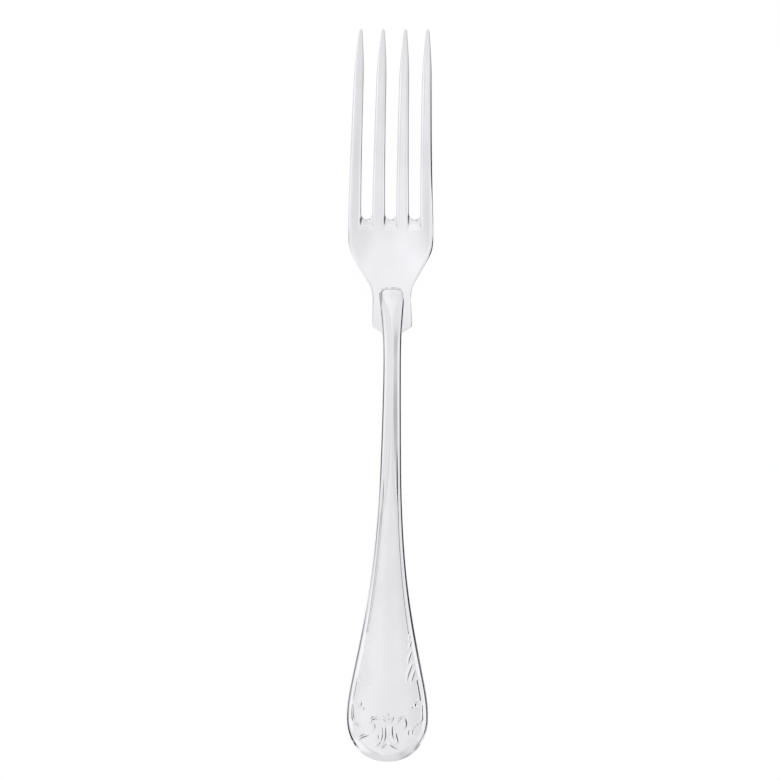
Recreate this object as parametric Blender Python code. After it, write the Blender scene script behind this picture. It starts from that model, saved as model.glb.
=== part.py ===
"""Lunch fork: a stamped head on a tang, two struck handle halves, the solder between them and their filler.

Every piece is modelled flat, as a blank in plan with n as its height above the middle plane,
and is then bent to the fork's side profile by one function, so that the pieces nest along the whole length.
The fork lies along Y, points towards +Y, front face up, on the plane z = 0.
"""

from math import atan2, cos, pi, sin, sqrt

import bmesh
import bpy
from mathutils import Vector

# Overall size, in metres
OVERALL_LENGTH = 0.180

# Head: tines, bowl, shoulders and heel
TINE_COUNT = 4
HEAD_WIDTH = 0.0210  # across the outer tines at their roots
TINE_LEAN = 0.0007  # how far each outer tine leans in from root to point
TINE_LENGTH = 0.0466  # slot root to point
TINE_ROOT_WIDTH = 0.0032
TINE_POINT_WIDTH = 0.0024  # where the tapering point begins
POINT_LENGTH = 0.0120
POINT_RADIUS = 0.0005
POINT_TAPER = 1.5  # 1 makes a point's sides straight, more makes them fuller
SLOT_BEVEL = 0.0026  # length of the sloping root of each slot on the front face
SLOT_BEVEL_LOW = -0.0007  # height of that slope above the middle plane where it runs out
SLOT_BEVEL_SIDE = 0.00012  # step between that slope and each side of the slot
BOWL_SIDE = 0.0053  # straight side between the slot roots and the shoulders
SHOULDER_LENGTH = 0.0144
SHOULDER_RADIUS = 0.0085  # of the round at each end of a shoulder's straight slope
NECK_WIDTH = 0.0094
HEEL_LENGTH = 0.0085
HEEL_WIDTH = 0.0098
HEEL_CORNER = 0.0016  # length of the slanted corner at the heel's lower end
HEEL_RELIEF = 0.0002  # small undercut beside the tang, so that the handle halves close up to the heel
HEAD_THICKNESS = 0.0022
POINT_THICKNESS = 0.0013
HEEL_THICKNESS = 0.0020
HEAD_EDGE_RADIUS = 0.00035
BOWL_DISH = 0.0006  # rise of the bowl's sides above its middle
POINT_DISH = 0.0003  # the same rise at the points

# Tang inside the handle
TANG_LENGTH = 0.040

# Handle outline and depth
HANDLE_WIDTH = 0.0202
HANDLE_ROUND = 0.0110  # length of the rounded end
HANDLE_FULLNESS = 2.15  # 2 makes the end an ellipse, more makes it squarer
STEM_WIDTH = 0.0043
TONGUE_WIDTH = 0.0062
TONGUE_LENGTH = 0.0110  # overlap of the handle's tongues on the heel
TONGUE_ROUND = 0.0018
TONGUE_FULLNESS = 2.8
FRONT_TONGUE_RISE = 0.0009  # height of the front tongue above the heel
BACK_TONGUE_RISE = 0.00075
FRONT_END_DEPTH = 0.00145
BACK_END_DEPTH = 0.00135
BORDER_WIDTH = 0.0016
BORDER_RISE = 0.0002
BORDER_STEP = 0.00025
PANEL_CROWN = 0.0001
WALL = 0.00055
DEPTH_START = 0.25  # share of the way from the end to the heel where the handle starts to deepen
DEPTH_SPAN = 0.5  # share of that way over which it deepens
EDGE_HEIGHT = 0.98  # most of a half's height that its rounded edge takes
EDGE_REACH = 0.8  # most of a half's half width that its rounded edge takes
HOLLOW_EDGE = 0.3  # least radius of a hollow's edge, as a share of its wall

# Joints between the pieces
SOLDER_THICKNESS = 0.0002
SEAM_CLEARANCE = 0.00005
LAP_CLEARANCE = 0.0001
FILLER_CLEARANCE = 0.0001
TANG_CLEARANCE = 0.0004
CUTTER_REACH = 0.001

# Share of the handle's flare at even steps from the widest place to the tongue's widest place,
# and of the tongue's own flare at the same steps. The first and last values only steer the curve's ends.
HANDLE_FLARE = (0.85, 1.075, 0.85, 0.60, 0.385, 0.23, 0.13, 0.065, 0.04, 0.015, 0.0, 0.0, 0.0, 0.0)
TONGUE_FLARE = (0.0, 0.0, 0.0, 0.0, 0.0, 0.0, 0.0, 0.0, 0.0, 0.0, 0.0, -0.02, 1.08, 1.7)

# Lift of the middle plane above its place at rest, at even steps from the handle's end to the points:
# first the handle's share of the profile, then the head's. The end values only steer the curve.
HANDLE_LIFTS = (0.0, 0.0, 0.0, 0.0, 0.0, 0.0009, 0.0025, 0.0045, 0.0065, 0.0084, 0.0099, 0.0107)
HEAD_LIFTS = (0.0094, 0.0046, 0.00012, -0.00028, 0.00102, 0.0040, 0.0076, 0.0119, 0.0164)

# Facets
ARC_STEPS = 3
POINT_STEPS = 4
ROUND_STEPS = 9
TONGUE_STEPS = 5
ROUND_EDGE = 0.06  # share of a step that the first section keeps from the handle's end
TONGUE_EDGE = 0.3  # share of a step that the last section keeps from the tongue's end
HANDLE_STATION = 0.0040
HEAD_STATION = 0.0030
SMOOTH_ANGLE = 0.6
WELD = 1e-7

# Places along the fork
POINT_Y = OVERALL_LENGTH / 2
END_Y = -OVERALL_LENGTH / 2
SLOT_Y = POINT_Y - TINE_LENGTH
SHOULDER_Y = SLOT_Y - BOWL_SIDE
NECK_Y = SHOULDER_Y - SHOULDER_LENGTH
HEEL_Y = NECK_Y - HEEL_LENGTH
TANG_Y = HEEL_Y - TANG_LENGTH
TONGUE_Y = HEEL_Y + TONGUE_LENGTH
WIDEST_Y = END_Y + HANDLE_ROUND
STEP_Y = HEEL_Y - LAP_CLEARANCE

# Heights of the joint faces above the middle plane, and of the stem's two faces
SEAM_FACE = SOLDER_THICKNESS / 2 + SEAM_CLEARANCE
LAP_FACE = HEEL_THICKNESS / 2 + LAP_CLEARANCE
FRONT_STEM_DEPTH = LAP_FACE + FRONT_TONGUE_RISE
BACK_STEM_DEPTH = LAP_FACE + BACK_TONGUE_RISE

# The tang fills the stem's bore but for its clearance
TANG_WIDTH = STEM_WIDTH - 2 * (WALL + TANG_CLEARANCE)
TANG_THICKNESS = 2 * (min(FRONT_STEM_DEPTH, BACK_STEM_DEPTH) - WALL - TANG_CLEARANCE)

TINE_ROOT_PITCH = (HEAD_WIDTH - TINE_ROOT_WIDTH) / (TINE_COUNT - 1)
TINE_POINT_PITCH = TINE_ROOT_PITCH - 2 * TINE_LEAN / (TINE_COUNT - 1)
SLOT_ROUND_Y = SLOT_Y + TINE_ROOT_PITCH / 4  # where the round root of a slot begins


def clamp(value):
    return min(1.0, max(0.0, value))


def smooth(value):
    value = clamp(value)
    return value * value * (3 - 2 * value)


def mix(first, second, share):
    return first + (second - first) * share


def spline(values, share):
    """Even cubic B-spline on control values, for a share from 0 to 1 of the way between its ends."""
    spans = len(values) - 3
    place = clamp(share) * spans
    span = min(int(place), spans - 1)
    t = place - span
    weights = ((1 - t) ** 3, 3 * t**3 - 6 * t**2 + 4, -3 * t**3 + 3 * t**2 + 3 * t + 1, t**3)
    return sum(w * v for w, v in zip(weights, values[span : span + 4])) / 6


def middle_height(y):
    """Height of the middle plane above the table."""
    heights = [BACK_END_DEPTH + lift for lift in HANDLE_LIFTS]
    heights += [HEAD_THICKNESS / 2 + lift for lift in HEAD_LIFTS]
    return spline(heights, (y - END_Y) / OVERALL_LENGTH)


def bend(x, y, n):
    """Carries a point of the flat blank to the bent fork."""
    reach = 0.0001
    slope = (middle_height(y + reach) - middle_height(y - reach)) / (2 * reach)
    tilt = sqrt(1 + slope * slope)
    return Vector((x, y - n * slope / tilt, middle_height(y) + n / tilt))


def new_object(name, mesh, collection, material=None):
    obj = bpy.data.objects.new(name, mesh)
    collection.objects.link(obj)
    if material:
        mesh.materials.append(material)
        mesh.shade_smooth()
        mesh.set_sharp_from_angle(angle=SMOOTH_ANGLE)
    return obj


def new_material(name, colour, metallic, roughness):
    material = bpy.data.materials.new(name)
    material.use_nodes = True
    shader = material.node_tree.nodes["Principled BSDF"]
    shader.inputs["Base Color"].default_value = (*colour, 1.0)
    shader.inputs["Metallic"].default_value = metallic
    shader.inputs["Roughness"].default_value = roughness
    return material


# Head blank


def tine_half_width(y):
    share = (y - SLOT_Y) / (TINE_LENGTH - POINT_LENGTH)
    return mix(TINE_ROOT_WIDTH, TINE_POINT_WIDTH, share) / 2


def tine_middle(index, y):
    share = (y - SLOT_Y) / TINE_LENGTH
    return (index - (TINE_COUNT - 1) / 2) * mix(TINE_ROOT_PITCH, TINE_POINT_PITCH, share)


def point_outline(index):
    """The tapering point of one tine and its round end, from the right side to the left."""
    start = POINT_Y - POINT_LENGTH
    taper = POINT_LENGTH - POINT_RADIUS
    sides = []
    for step in range(POINT_STEPS):
        share = step / POINT_STEPS
        half = mix(TINE_POINT_WIDTH / 2, POINT_RADIUS, share**POINT_TAPER)
        sides.append((half, start + taper * share))
    points = [(tine_middle(index, y) + half, y) for half, y in sides]
    for step in range(2 * POINT_STEPS + 1):
        angle = pi * step / (2 * POINT_STEPS)
        x = tine_middle(index, POINT_Y) + POINT_RADIUS * cos(angle)
        points.append((x, start + taper + POINT_RADIUS * sin(angle)))
    return points + [(tine_middle(index, y) - half, y) for half, y in reversed(sides)]


def slot_outline(index):
    """The round root of the slot on the left of one tine, from the right wall to the left wall."""
    right = tine_middle(index, SLOT_ROUND_Y) - tine_half_width(SLOT_ROUND_Y)
    left = tine_middle(index - 1, SLOT_ROUND_Y) + tine_half_width(SLOT_ROUND_Y)
    points = []
    for step in range(2 * POINT_STEPS + 1):
        angle = pi * step / (2 * POINT_STEPS)
        x = (left + right) / 2 + (right - left) / 2 * cos(angle)
        points.append((x, SLOT_ROUND_Y - (SLOT_ROUND_Y - SLOT_Y) * sin(angle)))
    return points


def shoulder_outline():
    """Right side from the neck up to the bowl: a hollow arc, a straight slope, then a round arc."""
    rise = (HEAD_WIDTH - NECK_WIDTH) / 2
    radius = min(SHOULDER_RADIUS, (rise**2 + SHOULDER_LENGTH**2) / (4 * rise))
    across = 2 * radius - rise
    straight = sqrt(max(0.0, across**2 + SHOULDER_LENGTH**2 - 4 * radius**2))
    turn = atan2(2 * radius, straight) - atan2(across, SHOULDER_LENGTH)
    hollow, crest = [], []
    for step in range(POINT_STEPS + 1):
        angle = turn * step / POINT_STEPS
        side, along = radius * (1 - cos(angle)), radius * sin(angle)
        hollow.append((NECK_WIDTH / 2 + side, NECK_Y + along))
        crest.append((HEAD_WIDTH / 2 - side, SHOULDER_Y - along))
    return hollow + crest[::-1]


def head_outline():
    half_tang = TANG_WIDTH / 2
    right = [
        (half_tang, TANG_Y),
        (half_tang, HEEL_Y + HEEL_RELIEF),
        (STEM_WIDTH / 2, HEEL_Y),
        (HEEL_WIDTH / 2, HEEL_Y + HEEL_CORNER),
        *shoulder_outline(),
        (tine_middle(TINE_COUNT - 1, SLOT_Y) + tine_half_width(SLOT_Y), SLOT_Y),
    ]
    crown = []
    for index in reversed(range(TINE_COUNT)):
        crown += point_outline(index)
        if index:
            crown += slot_outline(index)
    left = [(-x, y) for x, y in reversed(right)]
    return right + crown + left


def blank_of(outline, thickness, edge_radius):
    """A flat plate with rounded edges, as a mesh."""
    curve = bpy.data.curves.new("blank", "CURVE")
    curve.dimensions = "2D"
    curve.fill_mode = "BOTH"
    curve.extrude = thickness / 2 - edge_radius
    curve.bevel_depth = edge_radius
    curve.bevel_resolution = 1
    curve.offset = -edge_radius
    path = curve.splines.new("POLY")
    path.points.add(len(outline) - 1)
    for point, (x, y) in zip(path.points, outline):
        point.co = (x, y, 0, 1)
    path.use_cyclic_u = True
    holder = bpy.data.objects.new("blank", curve)
    bpy.context.scene.collection.objects.link(holder)
    evaluated = holder.evaluated_get(bpy.context.evaluated_depsgraph_get())
    mesh = bpy.data.meshes.new_from_object(evaluated)
    bpy.data.objects.remove(holder)
    return mesh


def cut_across(bm, axis, places):
    """Adds an edge loop across the mesh at each place along the axis, so that it can bend there."""
    normal = Vector((axis == "X", axis == "Y", 0))
    for place in places:
        geometry = bm.verts[:] + bm.edges[:] + bm.faces[:]
        bmesh.ops.bisect_plane(bm, geom=geometry, dist=WELD, plane_co=normal * place, plane_no=normal)


def head_thickness(y):
    bowl = mix(HEEL_THICKNESS, HEAD_THICKNESS, smooth((y - NECK_Y) / SHOULDER_LENGTH))
    tine = mix(bowl, POINT_THICKNESS, clamp((y - SLOT_Y) / TINE_LENGTH))
    return mix(TANG_THICKNESS, tine, smooth((y - TANG_Y) / (HEEL_Y - TANG_Y) * 4 - 3))


def dish(x, y):
    depth = mix(BOWL_DISH, POINT_DISH, clamp((y - SLOT_Y) / TINE_LENGTH))
    return depth * smooth((y - NECK_Y) / SHOULDER_LENGTH) * (2 * x / HEAD_WIDTH) ** 2


def make_slot_wedge(index, cutters):
    """Cutter for the sloping root of the slot on the left of one tine: a block with a slanted lower face."""
    middle = (tine_middle(index, SLOT_Y) + tine_middle(index - 1, SLOT_Y)) / 2
    half = (TINE_ROOT_PITCH - TINE_ROOT_WIDTH) / 2 - SLOT_BEVEL_SIDE
    front = HEAD_THICKNESS / 2
    spare = CUTTER_REACH / 4
    slope = (front - SLOT_BEVEL_LOW) / (SLOT_BEVEL + SLOT_ROUND_Y - SLOT_Y)
    bm = bmesh.new()
    bmesh.ops.create_cube(bm, size=2)
    for vertex in bm.verts:
        side, along, up = vertex.co
        x = middle + side * half
        n = CUTTER_REACH + front if up > 0 else SLOT_BEVEL_LOW
        y = SLOT_ROUND_Y
        if along < 0:
            n = CUTTER_REACH + front if up > 0 else front + spare
            y = SLOT_Y - SLOT_BEVEL - spare / slope
        vertex.co = bend(x, y, n + dish(x, y))
    bmesh.ops.recalc_face_normals(bm, faces=bm.faces)
    mesh = bpy.data.meshes.new("slot_wedge")
    bm.to_mesh(mesh)
    bm.free()
    return new_object("slot_wedge_" + str(index), mesh, cutters)


def make_head(collection, cutters, material):
    mesh = blank_of(head_outline(), HEAD_THICKNESS, HEAD_EDGE_RADIUS)
    bm = bmesh.new()
    bm.from_mesh(mesh)
    bmesh.ops.remove_doubles(bm, verts=bm.verts, dist=WELD)
    steps = round((POINT_Y - TANG_Y) / HEAD_STATION)
    cut_across(bm, "Y", [mix(TANG_Y, POINT_Y, step / steps) for step in range(1, steps)])
    cut_across(bm, "X", [TINE_ROOT_PITCH * step / 2 for step in range(1 - TINE_COUNT, TINE_COUNT)])
    bmesh.ops.remove_doubles(bm, verts=bm.verts, dist=WELD)
    for vertex in bm.verts:
        x, y, n = vertex.co
        n *= head_thickness(y) / HEAD_THICKNESS
        vertex.co = bend(x, y, n + dish(x, y))
    bmesh.ops.recalc_face_normals(bm, faces=bm.faces)
    bm.to_mesh(mesh)
    bm.free()
    head = new_object("fork_head", mesh, collection, material)
    for index in range(1, TINE_COUNT):
        cut_by(head, make_slot_wedge(index, cutters))


# Handle halves, solder and filler


def round_share(gap, radius):
    """Share of its full height that a rounded edge has reached at a gap from its rim."""
    return sqrt(max(0.0, 1 - (1 - clamp(gap / radius)) ** 2))


def full_round(share, fullness):
    """Share of the full width left at a share of the way along a rounded end."""
    return max(0.0, 1 - share**fullness) ** (1 / fullness)


def handle_half_width(y, inset):
    """Half the handle's width at y, drawn in by the inset on every side."""
    top, end = TONGUE_Y - inset, END_Y + inset
    shoulder = TONGUE_Y - TONGUE_ROUND
    share = (min(max(y, WIDEST_Y), shoulder) - WIDEST_Y) / (shoulder - WIDEST_Y)
    half = STEM_WIDTH / 2 + spline(HANDLE_FLARE, share) * (HANDLE_WIDTH - STEM_WIDTH) / 2
    half += spline(TONGUE_FLARE, share) * (TONGUE_WIDTH - STEM_WIDTH) / 2
    half -= inset
    if y < WIDEST_Y:
        return half * full_round((WIDEST_Y - y) / (WIDEST_Y - end), HANDLE_FULLNESS)
    if y > shoulder:
        return half * full_round((y - shoulder) / (top - shoulder), TONGUE_FULLNESS)
    return half


def handle_depth(y, stem_depth, end_depth):
    share = (y - END_Y) / (HEEL_Y - END_Y)
    return mix(end_depth, stem_depth, smooth((share - DEPTH_START) / DEPTH_SPAN))


def corner(x, n, radius, start):
    """A quarter arc with its square corner at x, n, from angle start, anticlockwise."""
    points = []
    for step in range(ARC_STEPS + 1):
        angle = start + pi / 2 * step / ARC_STEPS
        side = 1 if x > 0 else -1
        edge = 1 if start in (0, pi / 2) else -1
        points.append((x - side * radius + radius * cos(angle), n - edge * radius + radius * sin(angle)))
    return points


def plain_section(half, high, low, high_radius, low_radius):
    """A closed section: flat faces at high and low, corners of the two radii."""
    points = corner(half, high, high_radius, 0) + [(0, high)] + corner(-half, high, high_radius, pi / 2)
    if not low_radius:
        return points + [(-half, low), (0, low), (half, low)]
    points += corner(-half, low, low_radius, pi) + [(0, low)]
    return points + corner(half, low, low_radius, 1.5 * pi)


def bordered_section(half, high, low, radius, rise):
    """A closed section with a raised border along both edges of its upper face."""
    inner = max(min(half - BORDER_WIDTH, half - radius), (half - radius) / 2)
    step = max(inner - BORDER_STEP, inner / 2)
    right = corner(half, high, radius, 0)
    left = corner(-half, high, radius, pi / 2)
    panel = high - rise
    crown = PANEL_CROWN * rise / BORDER_RISE
    top = [(inner, high), (step, panel), (0, panel + crown), (-step, panel), (-inner, high)]
    return right + top + left + [(-half, low), (0, low), (half, low)]


def rolled(name, sections, collection, material=None):
    """A solid lofted through sections of equal count: a grid rolled into a tube, its ends gathered."""
    columns = len(sections[0][1])
    rows = len(sections)
    bm = bmesh.new()
    bmesh.ops.create_grid(bm, x_segments=columns, y_segments=rows + 1, size=1)
    for vertex in bm.verts:
        column = round((vertex.co.x + 1) / 2 * columns) % columns
        row = round((vertex.co.y + 1) / 2 * (rows + 1)) - 1
        y, points = sections[min(max(row, 0), rows - 1)]
        x, n = points[column]
        if row in (-1, rows):
            x, n = 0, sum(p[1] for p in points) / columns
        vertex.co = bend(x, y, n)
    bmesh.ops.remove_doubles(bm, verts=bm.verts, dist=WELD)
    bmesh.ops.dissolve_degenerate(bm, edges=bm.edges, dist=WELD)
    bmesh.ops.recalc_face_normals(bm, faces=bm.faces)
    mesh = bpy.data.meshes.new(name)
    bm.to_mesh(mesh)
    bm.free()
    return new_object(name, mesh, collection, material)


def handle_stations(inset, top):
    """Places along the handle from its end up to the top, closer together at the two rounds."""
    end, shoulder = END_Y + inset, TONGUE_Y - TONGUE_ROUND
    turns = [pi / 2 * (step + ROUND_EDGE) / ROUND_STEPS for step in range(ROUND_STEPS)]
    places = [WIDEST_Y - (WIDEST_Y - end) * cos(turn) for turn in turns]
    steps = round((shoulder - WIDEST_Y) / HANDLE_STATION)
    places += [mix(WIDEST_Y, shoulder, step / steps) for step in range(steps + 1)]
    rise = TONGUE_Y - inset - shoulder
    turns = [pi / 2 * (step - TONGUE_EDGE) / TONGUE_STEPS for step in range(1, TONGUE_STEPS + 1)]
    places += [shoulder + rise * sin(turn) for turn in turns]
    places += [STEP_Y - LAP_CLEARANCE / 2, STEP_Y]
    return sorted(y for y in places if y < top - WELD)


def base_of(y):
    """Lower face of a handle half: the seam along the handle, then the lap on the heel."""
    return LAP_FACE if y >= STEP_Y else SEAM_FACE


def half_section(y, inset, stem_depth, end_depth, low, bordered):
    """Section of one handle half at y, drawn in by the inset."""
    half = handle_half_width(y, inset)
    depth = handle_depth(y, stem_depth, end_depth)
    edge = depth - base_of(y)
    gap = min(y - END_Y, TONGUE_Y - y) - inset
    radius = min(EDGE_HEIGHT * edge, EDGE_REACH * (half + inset))
    high = base_of(y) + (edge - inset) * round_share(gap, max(radius - inset, WELD))
    radius = max(radius - inset, HOLLOW_EDGE * inset)
    radius = min(radius, EDGE_REACH * half, EDGE_HEIGHT * (high - base_of(y)))
    if not bordered:
        return plain_section(half, high, low, radius, 0)
    flat = clamp((half - radius - BORDER_WIDTH) / BORDER_WIDTH)
    rise = BORDER_RISE * flat * clamp((y - END_Y - BORDER_WIDTH) / BORDER_STEP)
    return bordered_section(half, high, low, radius, rise)


def make_half(name, side, stem_depth, end_depth, bordered, collection, cutters, material):
    """One handle half: its form, hollowed by that form drawn in by the wall. side: 1 in front, -1 behind."""

    def form(form_name, inset, low_of, dressed, home, look):
        sections = []
        for y in handle_stations(inset, TONGUE_Y - inset):
            section = half_section(y, inset, stem_depth, end_depth, low_of(y), dressed)
            sections.append((y, [(x, side * n) for x, n in section]))
        return rolled(form_name, sections, home, look)

    half = form(name, 0, base_of, bordered, collection, material)
    hollow = form(name + "_hollow", WALL, lambda y: -CUTTER_REACH, False, cutters, None)
    cut_by(half, hollow)
    return half


def cut_by(obj, cutter):
    cutter.hide_render = True
    cutter.display_type = "WIRE"
    modifier = obj.modifiers.new("cut", "BOOLEAN")
    modifier.operation = "DIFFERENCE"
    modifier.object = cutter


def flat_strip(name, inset, reach, top, collection, material=None):
    """A plate of the handle's outline, drawn in by the inset, that reaches equally far above and below."""
    sections = []
    for y in handle_stations(inset, top) + [top]:
        sections.append((y, plain_section(handle_half_width(y, inset), reach, -reach, 0, 0)))
    return rolled(name, sections, collection, material)


def make_solder(collection, cutters, material):
    seam = flat_strip("seam_solder", 0, SOLDER_THICKNESS / 2, STEP_Y - LAP_CLEARANCE, collection, material)
    hollow = flat_strip("seam_solder_hollow", WALL, CUTTER_REACH, HEEL_Y, cutters)
    cut_by(seam, hollow)


def make_filler(collection, material):
    """Filler from the tang's end to the handle's end, clear of both halves."""
    inset = WALL + FILLER_CLEARANCE
    top = TANG_Y - FILLER_CLEARANCE
    sections = []
    for y in handle_stations(inset, top) + [top]:
        half = handle_half_width(y, inset)
        share = round_share(y - END_Y - inset, FRONT_END_DEPTH - inset)
        high = (handle_depth(y, FRONT_STEM_DEPTH, FRONT_END_DEPTH) - BORDER_RISE - inset) * share
        low = (handle_depth(y, BACK_STEM_DEPTH, BACK_END_DEPTH) - inset) * share
        high_radius = EDGE_HEIGHT * min(high, EDGE_REACH * half)
        low_radius = EDGE_HEIGHT * min(low, EDGE_REACH * half)
        sections.append((y, plain_section(half, high, -low, high_radius, low_radius)))
    return rolled("handle_filler", sections, collection, material)


def main():
    for obj in list(bpy.data.objects):
        bpy.data.objects.remove(obj)
    parts = bpy.data.collections.new("lunch_fork")
    cutters = bpy.data.collections.new("cutters")
    bpy.context.scene.collection.children.link(parts)
    bpy.context.scene.collection.children.link(cutters)
    silver = new_material("polished_silver", (0.90, 0.90, 0.91), 1.0, 0.16)
    solder = new_material("silver_solder", (0.82, 0.80, 0.76), 1.0, 0.30)
    cement = new_material("handle_cement", (0.22, 0.18, 0.14), 0.0, 0.90)
    make_head(parts, cutters, silver)
    make_half("handle_front", 1, FRONT_STEM_DEPTH, FRONT_END_DEPTH, True, parts, cutters, silver)
    make_half("handle_back", -1, BACK_STEM_DEPTH, BACK_END_DEPTH, False, parts, cutters, silver)
    make_solder(parts, cutters, solder)
    make_filler(parts, cement)


main()
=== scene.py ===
from math import atan2, cos, pi, radians, sin, sqrt, tan

import bmesh
import bpy
import numpy as np
from mathutils import Matrix, Vector


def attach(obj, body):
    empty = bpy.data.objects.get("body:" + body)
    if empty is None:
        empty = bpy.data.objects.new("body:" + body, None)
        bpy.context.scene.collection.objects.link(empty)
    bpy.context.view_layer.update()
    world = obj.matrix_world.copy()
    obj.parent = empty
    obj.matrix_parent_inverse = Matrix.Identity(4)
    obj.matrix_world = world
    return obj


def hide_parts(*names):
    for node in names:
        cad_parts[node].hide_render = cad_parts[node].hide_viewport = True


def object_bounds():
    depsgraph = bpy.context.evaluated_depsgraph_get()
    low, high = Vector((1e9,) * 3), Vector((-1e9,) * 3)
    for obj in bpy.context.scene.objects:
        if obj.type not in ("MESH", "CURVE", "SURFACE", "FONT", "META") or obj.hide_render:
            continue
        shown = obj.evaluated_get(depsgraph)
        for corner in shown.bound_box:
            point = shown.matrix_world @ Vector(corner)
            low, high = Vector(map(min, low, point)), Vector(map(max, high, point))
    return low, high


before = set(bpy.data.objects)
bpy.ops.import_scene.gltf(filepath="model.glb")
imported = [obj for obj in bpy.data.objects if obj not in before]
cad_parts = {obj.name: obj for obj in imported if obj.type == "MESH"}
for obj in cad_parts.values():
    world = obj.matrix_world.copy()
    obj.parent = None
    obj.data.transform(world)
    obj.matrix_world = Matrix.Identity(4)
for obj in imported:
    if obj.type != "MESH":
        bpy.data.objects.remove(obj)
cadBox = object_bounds()
print("frame loaded, CAD box", [round(v, 5) for corner in cadBox for v in corner])

# Lengths are in mm and angles in degrees, in the CAD frame: fork along Y, points at +Y, front face up
mm = 0.001
hair = 0.01  # places that are closer than this are one place

# Side profile of the bent fork: height of the middle plane at even steps from the handle's end to the points
sideProfile = {
    "length": 180.0,
    "handleRest": 1.35,
    "handleLifts": [0, 0, 0, 0, 0, 0.9, 2.5, 4.5, 6.5, 8.4, 9.9, 10.7],
    "headRest": 1.1,
    "headLifts": [9.4, 4.6, 0.12, -0.28, 1.02, 4.0, 7.6, 11.9, 16.4],
}


def clamp(value):
    return np.clip(value, 0.0, 1.0)


def smooth(value):
    value = clamp(value)
    return value * value * (3 - 2 * value)


def mix(first, second, share):
    return first + (second - first) * share


def bSpline(values, share):
    values = np.asarray(values, float)
    spans = len(values) - 3
    place = clamp(np.asarray(share, float)) * spans
    span = np.minimum(place.astype(int), spans - 1)
    t = place - span
    weights = ((1 - t) ** 3, 3 * t**3 - 6 * t**2 + 4, -3 * t**3 + 3 * t**2 + 3 * t + 1, t**3)
    return sum(weight * values[span + k] for k, weight in enumerate(weights)) / 6


def middleHeight(y):
    heights = [sideProfile["handleRest"] + lift for lift in sideProfile["handleLifts"]]
    heights += [sideProfile["headRest"] + lift for lift in sideProfile["headLifts"]]
    return bSpline(heights, y / sideProfile["length"] + 0.5)


# Carries points of the flat blank (x, y, height above the middle plane) to the bent fork, in metres
def bend(x, y, n):
    step = 0.1
    slope = (middleHeight(y + step) - middleHeight(y - step)) / (2 * step)
    stretch = np.sqrt(1 + slope * slope)
    return np.stack([x, y - n * slope / stretch, middleHeight(y) + n / stretch], axis=-1) * mm


def addPiece(name, points, faces, material, sharpAngle):
    weld = 0.0001 * mm
    mesh = bpy.data.meshes.new(name)
    mesh.from_pydata([tuple(p) for p in points], [], [tuple(f) for f in faces])
    bm = bmesh.new()
    bm.from_mesh(mesh)
    bmesh.ops.remove_doubles(bm, verts=bm.verts, dist=weld)
    bmesh.ops.dissolve_degenerate(bm, edges=bm.edges, dist=weld)
    loose = [edge for edge in bm.edges if edge.is_wire]
    bmesh.ops.delete(bm, geom=loose, context="EDGES")
    bmesh.ops.recalc_face_normals(bm, faces=bm.faces)
    openEdges = sum(not edge.is_manifold for edge in bm.edges)
    bm.to_mesh(mesh)
    bm.free()
    mesh.shade_smooth()
    mesh.set_sharp_from_angle(angle=radians(sharpAngle))
    mesh.materials.append(material)
    piece = bpy.data.objects.new(name, mesh)
    bpy.context.scene.collection.objects.link(piece)
    print("built", name, len(mesh.polygons), "faces,", openEdges, "open edges")
    return piece


# Quads between neighbouring rows of a grid of point numbers
def gridFaces(numbers):
    a, b = numbers[:-1, :-1], numbers[1:, :-1]
    c, d = numbers[1:, 1:], numbers[:-1, 1:]
    return np.stack([a, b, c, d], axis=-1).reshape(-1, 4)


# Materials


def toLinear(hexColour):
    channels = [int(hexColour[k : k + 2], 16) / 255 for k in (0, 2, 4)]
    return [c / 12.92 if c <= 0.04045 else ((c + 0.055) / 1.055) ** 2.4 for c in channels] + [1.0]


# Adds a node; settings are its properties or inputs, links are inputs by name, or by number as in0, in1
def addNode(tree, kind, settings=None, **links):
    node = tree.nodes.new("ShaderNode" + kind)
    for key, value in (settings or {}).items():
        if hasattr(node, key):
            setattr(node, key, value)
        else:
            node.inputs[int(key) if key.isdigit() else key].default_value = value
    for key, source in links.items():
        socket = int(key[2:]) if key.startswith("in") else key
        tree.links.new(source, node.inputs[socket])
    return node


# A new material with its node tree, and the places on the object that its patterns go by
def newMaterial(name, metallic):
    material = bpy.data.materials.new(name)
    material.use_nodes = True
    tree = material.node_tree
    tree.nodes["Principled BSDF"].inputs["Metallic"].default_value = metallic
    return material, tree, addNode(tree, "TexCoord").outputs["Object"]


def joinShader(tree, tone, rough, bump):
    shader = tree.nodes["Principled BSDF"]
    tree.links.new(tone.outputs[2], shader.inputs["Base Color"])
    tree.links.new(rough.outputs[0], shader.inputs["Roughness"])
    tree.links.new(bump.outputs[0], shader.inputs["Normal"])


# Polished silver, buffed along its length: bright and mirror-like, with faint hairlines and worn patches
silver = {
    "bright": "f8f7fa",
    "worn": "f1f0f4",
    "roughness": 0.11,
    "wornRoughness": 0.16,
    "patch": 7.0,  # mm across a worn patch
    "patchDetail": 3.0,
    "hairline": 0.16,  # mm between buffing lines; real ones are finer than the picture can show
    "hairlineLength": 14.0,
    "hairlineDetail": 2.0,
    "hairlineDepth": 0.0008,
    "hairlineWear": 0.4,  # how much the lines add to the wear of the patches
    "wearStart": 0.4,  # wear at which the silver begins to dull, and at which it is dullest
    "wearEnd": 0.9,
}


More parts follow.
